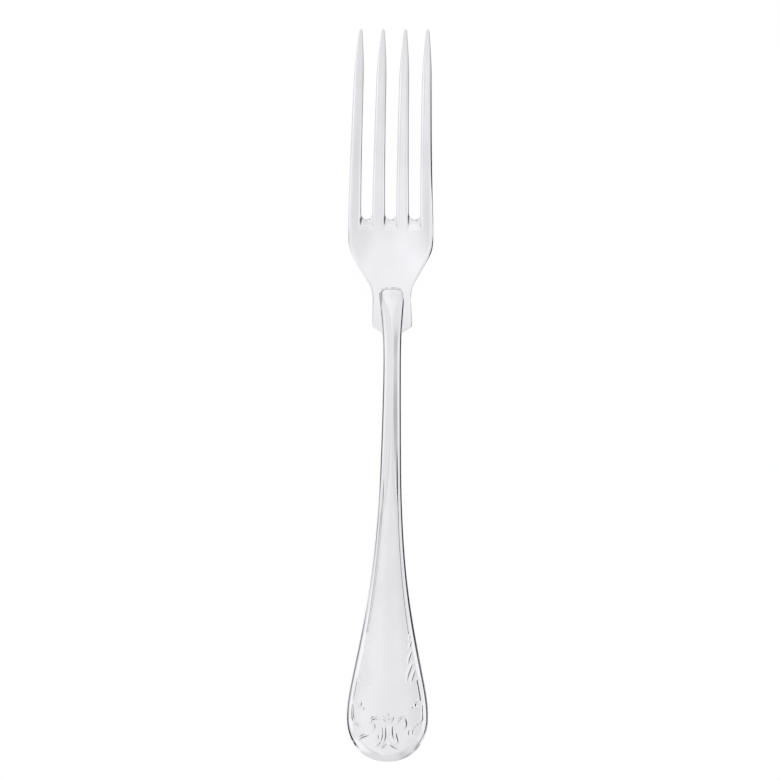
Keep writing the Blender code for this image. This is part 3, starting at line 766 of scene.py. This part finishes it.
frontHalf = {
    "stemDepth": 1.98,
    "endDepth": 1.45,
    "endSteps": 110,  # rows round the end, mm between the other rows, and columns
    "wideStep": 0.15,
    "stemStep": 0.8,
    "tongueStep": 0.2,
    "columns": 171,
    "tongueLead": 2.0,  # the border and rim change to those of the tongue over this length below the heel
    "tongueTipDrop": 0.38,  # the tongue sinks by this much to its tip, over this length
    "tongueTipSpan": 5.0,
    "ornamentEdge": 1.2,  # the ornament fades out over this width at the outline
    "border": {  # border of the front: a flatter band inside and a steep rim outside it
        "stem": 0.80,  # width from the outline to the thin line inside the border
        "tongue": 0.80,
        "wide": 1.5,
        "end": 2.4,
        "wideGrowth": 6.0,  # it is wide where the handle is this much wider than the stem on each side
        "endReach": 9.0,  # it changes to that of the end over this length
        "stemBand": 0.50,  # share of the border that is its band
        "wideBand": 0.57,
        "bandTilt": 20.0,
        "endBandTilt": 24.0,
        "soft": 0.16,  # share of the border over which each slope begins
        "endSoft": 0.36,
    },
    "rim": {  # tilt of the border's rim
        "stem": 40.5,
        "flare": 38.0,
        "wide": 43.0,
        "end": 29.0,
        "tongue": 41.0,
        "tongueTip": 34.0,
        "flareStart": 0.30,  # it flattens a little where the handle is this much wider on each side
        "flareSpan": 0.35,
        "wideStart": 2.6,  # and is steep again from here
        "wideSpan": 3.2,
        "endReach": 4.8,  # it flattens at this distance from the end, over this length
        "endSpan": 2.4,
        "tipStart": 4.0,  # and on the tongue at this distance from the heel
        "tipSpan": 5.0,
    },
    "thread": {  # thin line inside the border
        "depth": 0.24,
        "width": 0.20,
        "lowDepth": 0.28,  # the same below the sprays of leaves
        "lowWidth": 0.28,
        "lip": 0.04,  # the border stands this much above the panel's edge
        "lipSpan": 0.2,
        "start": -10.0,  # it deepens from here down, over this length
        "startSpan": 25.0,
        "sprayTop": -57.6,  # it gives way to leaves between these two places
        "sprayTopSpan": 2.0,
        "sprayEnd": -70.4,
        "sprayEndSpan": 1.5,
        "end": -75.2,
        "endSpan": 1.0,
    },
    "panel": {  # panel inside the border: arched where it is wide, with sloping sides along the stem
        "stemTop": 0.20,  # share of the stem's panel that is gently arched; the rest slopes to its sides
        "stemArch": 10.0,
        "stemSlope": 25.0,
        "lowSlope": 20.0,  # the slopes flatten to this as they narrow
        "slopeGrowth": 1.0,  # they have narrowed to nothing where the handle is this much wider on each side
        "wideArch": 4.0,
        "leastHalf": 0.3,
    },
    "ornament": {  # struck ornament of the handle's end
        "leafSteepness": 0.505,  # height of each ridge as a share of its half width
        "leaves": [  # points of each leaflet of the side sprays, from base to tip, and its half width
            ([(5.30, -58.4), (5.20, -59.3), (4.90, -60.3)], 0.32),
            ([(5.60, -60.2), (5.25, -61.4), (4.90, -62.5)], 0.40),
            ([(5.95, -62.3), (5.35, -63.6), (4.95, -64.9), (4.93, -66.3)], 0.46),
            ([(6.15, -65.3), (5.35, -67.0), (4.75, -68.8), (4.55, -70.9)], 0.52),
            ([(6.85, -66.8), (6.25, -68.2), (5.80, -69.6), (5.65, -71.2)], 0.48),
        ],
        "leafBlunt": 0.06,  # share of a leaflet's rounded shape that is cut off at each end
        "leafFullness": 0.8,
        "lineSteepness": 0.76,
        "lines": [  # scrolls at the right and left, then the strands of the sheaf; half width of each
            ([(7.55, -74.8), (6.95, -75.2), (6.55, -75.9), (6.85, -76.6), (7.45, -76.4)], 0.40),
            ([(8.40, -76.0), (8.45, -78.4), (8.40, -79.6), (7.90, -80.3), (6.65, -81.2), (5.95, -82.4),
              (6.10, -83.6), (6.80, -84.0)], 0.32),
            ([(5.60, -81.6), (5.00, -82.5), (4.95, -83.4), (5.60, -84.2)], 0.32),
            ([(2.20, -80.6), (2.70, -79.7), (3.35, -79.1), (3.95, -79.4), (4.35, -80.5), (4.25, -81.4),
              (3.70, -81.6)], 0.48),
            ([(-7.35, -74.9), (-6.85, -75.3), (-6.75, -76.0), (-7.20, -76.5)], 0.38),
            ([(-8.60, -76.0), (-8.70, -78.2), (-8.30, -79.9), (-7.50, -80.75), (-6.75, -81.5),
              (-5.90, -82.8)], 0.42),
            ([(-4.75, -83.35), (-5.70, -83.55), (-6.50, -83.85), (-7.00, -84.5)], 0.50),
            ([(-4.30, -80.3), (-3.95, -79.45), (-3.10, -79.2), (-2.10, -79.5)], 0.50),
            ([(-3.90, -81.3), (-3.45, -80.7), (-3.40, -81.6), (-3.85, -82.3)], 0.36),
            ([(-1.55, -78.8), (-0.95, -79.35), (-0.20, -80.05)], 0.50),
            ([(1.45, -78.8), (1.00, -79.6), (0.55, -80.4)], 0.40),
            ([(-2.50, -82.9), (-2.52, -84.3), (-2.15, -85.4), (-2.85, -86.3)], 0.42),
            ([(-2.10, -80.8), (-1.60, -81.7), (-1.48, -82.9), (-1.70, -84.4), (-2.00, -85.3)], 0.46),
            ([(-0.90, -80.9), (-0.76, -82.0), (-0.74, -83.4), (-0.90, -84.5), (-1.30, -85.6)], 0.42),
            ([(0.15, -80.9), (0.26, -82.0), (0.30, -83.5), (0.75, -84.7), (1.40, -85.7)], 0.36),
            ([(0.98, -80.8), (0.90, -82.1), (0.92, -83.3), (1.35, -84.5), (2.10, -85.4)], 0.46),
            ([(1.80, -82.7), (2.00, -84.0), (2.50, -85.4)], 0.46),
            ([(-0.10, -84.6), (0.65, -85.45), (1.40, -86.1), (2.30, -86.7)], 0.52),
            ([(-0.40, -85.4), (-0.95, -86.1), (-1.75, -86.6)], 0.36),
        ],
        "lineThin": 0.55,  # half width of a line's ends, as a share of that of its middle
        "budHeight": 0.28,
        "buds": [(-0.10, -78.3, 0.60), (0.05, -79.5, 0.46), (5.95, -76.6, 0.42), (-6.00, -76.9, 0.36)],
        "crest": 0.12,  # round of each ridge's top as a share of its half width
        "reach": 1.2,  # no ridge is wider than this
        "steps": 10,  # between two points of a line
    },
}
border = frontHalf["border"]
rim = frontHalf["rim"]
thread = frontHalf["thread"]
panel = frontHalf["panel"]
ornament = frontHalf["ornament"]


# Smooth line that passes through a few points
def lineThrough(points, steps):
    p = np.array(points, float)
    p = np.vstack([2 * p[0] - p[1], p, 2 * p[-1] - p[-2]])
    t = np.linspace(0, 1, steps, endpoint=False)[:, None]
    runs = []
    for a, b, c, d in zip(p[:-3], p[1:-2], p[2:-1], p[3:]):
        runs.append(b + 0.5 * t * (c - a + t * (2 * a - 5 * b + 4 * c - d + t * (3 * (b - c) + d - a))))
    return np.vstack(runs + [p[-2:-1]])


def leafProfile(share):
    rounded = mix(ornament["leafBlunt"], 1 - ornament["leafBlunt"], share)
    return np.sin(pi * rounded) ** ornament["leafFullness"]


def lineProfile(share):
    return mix(ornament["lineThin"], 1.0, np.sin(pi * share))


# Relief of one struck line on plan points: a roof-shaped ridge, its half width by a profile along it
def ridge(x, y, points, width, profile, steepness):
    line = lineThrough(points, ornament["steps"])
    low = line.min(axis=0) - ornament["reach"]
    high = line.max(axis=0) + ornament["reach"]
    near = (x > low[0]) & (x < high[0]) & (y > low[1]) & (y < high[1])
    gap, share = nearestOnLine(np.stack([x[near], y[near]], axis=1), line)
    half = width * profile(share)
    crest = ornament["crest"] * half
    relief = np.zeros_like(x)
    relief[near] = steepness * np.maximum(np.hypot(half, crest) - np.hypot(gap, crest), 0)
    return relief


def ornamentRelief(x, y):
    relief = np.zeros_like(x)
    for points, width in ornament["leaves"]:
        leaf = ridge(np.abs(x), y, points, width, leafProfile, ornament["leafSteepness"])
        relief = np.maximum(relief, leaf)
    for points, width in ornament["lines"]:
        line = ridge(x, y, points, width, lineProfile, ornament["lineSteepness"])
        relief = np.maximum(relief, line)
    for budX, budY, radius in ornament["buds"]:
        gap = np.sqrt((x - budX) ** 2 + (y - budY) ** 2) / radius
        relief = np.maximum(relief, ornament["budHeight"] * (0.5 + 0.5 * np.cos(pi * clamp(gap))))
    return relief


# Fall of a slope that begins softly
def slopeFall(way, soft, slope):
    way = np.maximum(way, 0)
    return slope * np.where(way < soft, way**2 / (2 * soft), way - soft / 2)


def rimTilt(y, growth, onTongue):
    tilt = mix(rim["stem"], rim["flare"], smooth((growth - rim["flareStart"]) / rim["flareSpan"]))
    tilt = mix(tilt, rim["wide"], smooth((growth - rim["wideStart"]) / rim["wideSpan"]))
    tilt = mix(tilt, rim["end"], smooth((endY + rim["endReach"] - y) / rim["endSpan"]))
    towardsTip = smooth((y - heelY - rim["tipStart"]) / rim["tipSpan"])
    return mix(tilt, mix(rim["tongue"], rim["tongueTip"], towardsTip), onTongue)


def threadRelief(y, gap, line):
    leafy = smooth((thread["sprayTop"] - y) / thread["sprayTopSpan"])
    leafy = leafy * smooth((y - thread["sprayEnd"]) / thread["sprayEndSpan"])
    plain = (1 - leafy) * smooth((y - thread["end"]) / thread["endSpan"] + 0.5)
    low = y < (thread["sprayTop"] + thread["sprayEnd"]) / 2
    highDepth = thread["depth"] * smooth((thread["start"] - y) / thread["startSpan"])
    depth = np.where(low, thread["lowDepth"], highDepth)
    width = np.where(low, thread["lowWidth"], thread["width"])
    groove = depth * np.exp(-(((gap - line) / width) ** 2))
    lip = thread["lip"] * smooth((line - gap) / thread["lipSpan"] + 0.5)
    return (lip - groove) * plain


def panelFall(x, half, growth):
    half = np.maximum(half, panel["leastHalf"])
    noSlopes = smooth(growth / panel["slopeGrowth"])
    out = clamp(np.abs(x) / half)
    top = mix(panel["stemTop"], 1.0, noSlopes)
    arch = np.tan(np.radians(mix(panel["stemArch"], panel["wideArch"], noSlopes)))
    slope = np.tan(np.radians(mix(panel["stemSlope"], panel["lowSlope"], noSlopes)))
    fall = arch * np.minimum(out, top) ** 2 / (2 * top) + slope * np.maximum(out - top, 0)
    return half * fall


def frontHeight(x, y, gap, depth):
    half = handleHalf(np.clip(y, widestY, tongueStart), 0.0)
    growth = half - handle["stem"] / 2
    wide = smooth(growth / border["wideGrowth"])
    roundEnd = smooth((endY - y) / border["endReach"] + 1)
    onTongue = smooth((y - heelY) / frontHalf["tongueLead"] + 1)
    line = mix(mix(border["stem"], border["wide"], wide), border["tongue"], onTongue)
    width = mix(line, border["end"], roundEnd)
    rimWidth = width * (1 - mix(border["stemBand"], border["wideBand"], wide))
    soft = width * mix(border["soft"], border["endSoft"], roundEnd)
    bandSlope = np.tan(np.radians(mix(border["bandTilt"], border["endBandTilt"], roundEnd)))
    rimSlope = np.tan(np.radians(rimTilt(y, growth, onTongue)))
    fall = slopeFall(width - gap, soft, bandSlope)
    fall += slopeFall(rimWidth - gap, soft, rimSlope - bandSlope)
    fall += panelFall(x, half - line, growth)
    fall += frontHalf["tongueTipDrop"] * smooth((y - tongueY) / frontHalf["tongueTipSpan"] + 1)
    relief = ornamentRelief(x, y) * smooth(gap / frontHalf["ornamentEdge"])
    return depth - fall + threadRelief(y, gap, line) + relief


front = halfShell("silver_handle_front", 1, frontHalf, frontHeight)
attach(front, "root")
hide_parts("handle_front")

backHalf = {
    "stemDepth": 1.85,
    "endDepth": 1.35,
    "endSteps": 40,
    "wideStep": 0.8,
    "stemStep": 1.2,
    "tongueStep": 0.4,
    "columns": 61,
    "edge": 1.2,  # width of the rounded edge
    "endEdge": 2.0,
    "endReach": 9.0,  # it widens at this distance from the end, over this length
    "endSpan": 8.0,
    "edgeShare": 0.95,  # and takes no more than this share of the half width
    "leastHalf": 0.05,
}


# Plain and flat, with a rounded edge
def backHeight(x, y, gap, depth):
    base = handleBase(y)
    nearEnd = smooth((endY + backHalf["endReach"] - y) / backHalf["endSpan"])
    edge = mix(backHalf["edge"], backHalf["endEdge"], nearEnd)
    edge = np.minimum(edge, backHalf["edgeShare"] * np.maximum(handleHalf(y, 0.0), backHalf["leastHalf"]))
    return base + (depth - base) * np.sqrt(1 - (1 - clamp(gap / edge)) ** 2)


back = halfShell("silver_handle_back", -1, backHalf, backHeight)
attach(back, "root")
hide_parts("handle_back")

# Matt white paper under the fork: flat and even, with a glow of its own so that the ground is white
paper = {
    "colour": "fafafa",
    "half": 3000.0,
    "below": 0.2,  # under the fork's lowest point
    "glow": 1.035,
    "glowShare": 0.9,  # of what the camera and the silver see; the rest takes light and shadow
}

corners = [(-1, -1), (1, -1), (1, 1), (-1, 1)]
paperPoints = [(x * paper["half"] * mm, y * paper["half"] * mm, 0) for x, y in corners]
floorMesh = bpy.data.meshes.new("floor")
floorMesh.from_pydata(paperPoints, [], [(0, 1, 2, 3)])
floor = bpy.data.objects.new("floor", floorMesh)
floor.location.z = cadBox[0].z - paper["below"] * mm
bpy.context.scene.collection.objects.link(floor)
floorPaper = bpy.data.materials.new("matt_white_paper")
floorPaper.use_nodes = True
tree = floorPaper.node_tree
tree.nodes.clear()
rays = addNode(tree, "LightPath")
cameraRay = rays.outputs["Is Camera Ray"]
glossyRay = rays.outputs["Is Glossy Ray"]
mirrored = addNode(tree, "Math", {"operation": "MAXIMUM"}, in0=cameraRay, in1=glossyRay)
glowing = {"operation": "MULTIPLY", "1": paper["glowShare"]}
share = addNode(tree, "Math", glowing, in0=mirrored.outputs[0])
matt = addNode(tree, "BsdfDiffuse", {"Color": toLinear(paper["colour"])})
glow = addNode(tree, "Emission", {"Strength": paper["glow"]})
both = addNode(tree, "MixShader", in0=share.outputs[0], in1=matt.outputs[0], in2=glow.outputs[0])
addNode(tree, "OutputMaterial", Surface=both.outputs[0])
floorMesh.materials.append(floorPaper)

# Studio that the metal mirrors: paler and darker strips overhead, white sides and a few standing dark cards
surround = {
    "across": [  # level by the X part of the direction
        (-1.0, 1.04), (-0.50, 1.04), (-0.33, 0.96), (-0.22, 0.78), (-0.15, 0.74), (-0.11, 0.81),
        (-0.075, 0.93), (0.0, 0.965), (0.06, 0.865), (0.12, 0.92), (0.18, 0.79), (0.26, 0.82),
        (0.36, 0.84), (0.48, 0.97), (0.60, 1.0), (1.0, 1.0),
    ],
    "along": [  # level by its Y part
        (-1.0, 0.80), (-0.84, 0.80), (-0.74, 0.83), (-0.66, 0.95), (-0.52, 0.985), (-0.37, 0.955),
        (-0.2, 0.985), (0.0, 1.0), (0.2, 1.0), (0.5, 1.03), (0.8, 1.09), (1.0, 1.05),
    ],
    "stripsEnd": (-0.78, -0.66),  # the strips across fade out between these Y parts
    "cards": [  # azimuth from +X, half width, soft edge; lowest and highest elevation, soft edge; darkness
        (-3, 15, 8, -90, 28, 14, 0.96),
        (-27, 11, 8, -90, 26, 10, 0.50),
        (-51, 9, 5, -90, 16, 4, 0.70),
        (17, 8, 5, -90, 16, 8, 0.95),
        (162, 10, 8, -90, 11, 6, 0.70),
        (193, 10, 12, -90, 13, 6, 0.90),
        (216, 16, 8, -90, 10, 6, 0.97),
        (234, 10, 6, -90, 18, 6, 0.90),
        (270, 32, 10, -90, 20, 8, 0.90),
        (160, 48, 8, 26, 46, 4, 0.19),
        (90, 40, 20, -90, 22, 12, 0.40),
        (133, 20, 12, -90, 28, 12, 0.40),
        (-50, 14, 8, 24, 44, 8, 0.15),
        (35, 14, 8, 24, 44, 8, 0.15),
    ],
}

world = bpy.data.worlds.new("studio")
bpy.context.scene.world = world
world.use_nodes = True
tree = world.node_tree
tree.nodes.clear()
towards = addNode(tree, "TexCoord").outputs["Generated"]
parts = addNode(tree, "SeparateXYZ", Vector=towards)


# Level along one part of the direction, as a curve through the given stops
def levelCurve(part, stops):
    share = addNode(tree, "MapRange", {"From Min": -1.0, "From Max": 1.0}, in0=part)
    ramp = addNode(tree, "FloatCurve", Value=share.outputs[0])
    ramp.mapping.clip_max_y = 2.0
    curve = ramp.mapping.curves[0]
    while len(curve.points) < len(stops):
        curve.points.new(1.0, 1.0)
    for point, (at, level) in zip(curve.points, stops):
        point.location = ((at + 1) / 2, level)
    ramp.mapping.update()
    return ramp.outputs[0]


across = levelCurve(parts.outputs["X"], surround["across"])
along = levelCurve(parts.outputs["Y"], surround["along"])
fading = {"From Min": surround["stripsEnd"][0], "From Max": surround["stripsEnd"][1]}
fade = addNode(tree, "MapRange", fading, in0=parts.outputs["Y"])
strips = addNode(tree, "Mix", {"2": 1.0}, in0=fade.outputs[0], in3=across)
levels = [strips.outputs[0], along]
flatParts = addNode(tree, "CombineXYZ", X=parts.outputs["X"], Y=parts.outputs["Y"])
heading = addNode(tree, "VectorMath", {"operation": "NORMALIZE"}, in0=flatParts.outputs[0])
elevation = addNode(tree, "Math", {"operation": "ARCSINE"}, in0=parts.outputs["Z"])
multiply = {"operation": "MULTIPLY"}
for azimuth, size, soft, lowest, highest, softHeight, darkness in surround["cards"]:
    middle = (cos(radians(azimuth)), sin(radians(azimuth)), 0)
    facing = {"operation": "DOT_PRODUCT", "1": middle}
    turned = addNode(tree, "VectorMath", facing, in0=heading.outputs[0])
    softSides = {
        "interpolation_type": "SMOOTHSTEP",
        "From Min": cos(radians(size + soft)),
        "From Max": cos(radians(size)),
    }
    sides = addNode(tree, "MapRange", softSides, in0=turned.outputs["Value"])
    centre = radians((lowest + highest) / 2)
    halfHeight = radians((highest - lowest) / 2)
    above = addNode(tree, "Math", {"operation": "SUBTRACT", "1": centre}, in0=elevation.outputs[0])
    away = addNode(tree, "Math", {"operation": "ABSOLUTE"}, in0=above.outputs[0])
    softEnds = {
        "interpolation_type": "SMOOTHSTEP",
        "From Min": halfHeight + radians(softHeight),
        "From Max": halfHeight,
        "To Max": darkness,
    }
    shade = addNode(tree, "MapRange", softEnds, in0=away.outputs[0])
    dark = addNode(tree, "Math", multiply, in0=sides.outputs[0], in1=shade.outputs[0])
    card = addNode(tree, "Math", {"operation": "SUBTRACT", "0": 1.0}, in1=dark.outputs[0])
    levels.append(card.outputs[0])
level = levels[0]
for factor in levels[1:]:
    level = addNode(tree, "Math", multiply, in0=level, in1=factor).outputs[0]
cameraRay = addNode(tree, "LightPath").outputs["Is Camera Ray"]
plainWhite = {"data_type": "RGBA", "7": toLinear("ffffff")}
seen = addNode(tree, "Mix", plainWhite, in0=cameraRay, in6=level)
background = addNode(tree, "Background", {"Strength": 1.0}, Color=seen.outputs[2])
addNode(tree, "OutputWorld", Surface=background.outputs[0])

# Camera, looking straight down, turned and rolled a little, with the CAD origin at its pixel
view = {
    "azimuth": 3.26,
    "roll": 0.34,
    "distance": 2000.0,
    "focalPixels": 8115.3,
    "originPixel": (389.07, 396.11),
    "imagePixels": 780,
    "sensor": 36.0,
    "nearest": 10.0,
}

cameraData = bpy.data.cameras.new("camera")
camera = bpy.data.objects.new("camera", cameraData)
bpy.context.scene.collection.objects.link(camera)
turn = radians(view["azimuth"])
roll = radians(view["roll"])
backward = Vector((-sin(turn), 0, cos(turn)))
right = Vector((cos(turn), 0, sin(turn)))
up = Vector((0, 1, 0))
rolledRight = right * cos(roll) + up * sin(roll)
rolledUp = up * cos(roll) - right * sin(roll)
middlePixel = view["imagePixels"] / 2
perPixel = view["distance"] / view["focalPixels"] * mm
place = backward * view["distance"] * mm
place += rolledRight * ((middlePixel - view["originPixel"][0]) * perPixel)
place += rolledUp * ((view["originPixel"][1] - middlePixel) * perPixel)
axes = Matrix((rolledRight, rolledUp, backward)).transposed()
camera.matrix_world = Matrix.Translation(place) @ axes.to_4x4()
cameraData.sensor_width = view["sensor"]
cameraData.lens = view["focalPixels"] / view["imagePixels"] * view["sensor"]
cameraData.clip_start = view["nearest"] * mm
bpy.context.scene.camera = camera
bpy.context.scene.view_settings.view_transform = "Standard"
print("studio and camera set")

# The two CAD nodes that stay as they are
for name, material in (("seam_solder", silverSolder), ("handle_filler", handleCement)):
    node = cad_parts[name]
    node.data.materials.clear()
    node.data.materials.append(material)
